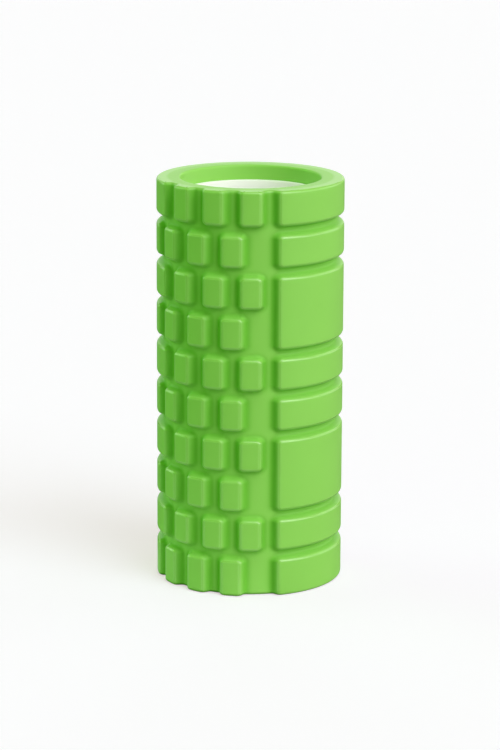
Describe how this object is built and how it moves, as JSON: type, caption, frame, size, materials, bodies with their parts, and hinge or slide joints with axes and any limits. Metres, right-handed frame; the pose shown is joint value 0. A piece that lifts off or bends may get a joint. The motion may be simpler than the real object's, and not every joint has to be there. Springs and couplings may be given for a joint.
{
  "type": "foam roller",
  "caption": "Hollow massage roller: a moulded foam sleeve with blocks, bars and palm pads in relief, bonded over a rigid core tube.",
  "frame": {"origin": "centre of the lower end face, on the roller's axis", "axes": "+Z along the roller's axis, upwards as it stands on end; -Y is the front, with the block field to its left and the palm pads to its right; +X to the right"},
  "size_m": [0.14, 0.14, 0.305],
  "materials": {
    "foam": "satin moulded skin, bright green closed-cell foam",
    "core": "satin extruded white plastic",
    "cement": "dried contact cement, straw coloured"
  },
  "bodies": {
    "root": {"foam_sleeve": "foam", "core_tube": "core", "bond_film": "cement"}
  },
  "joints": []
}
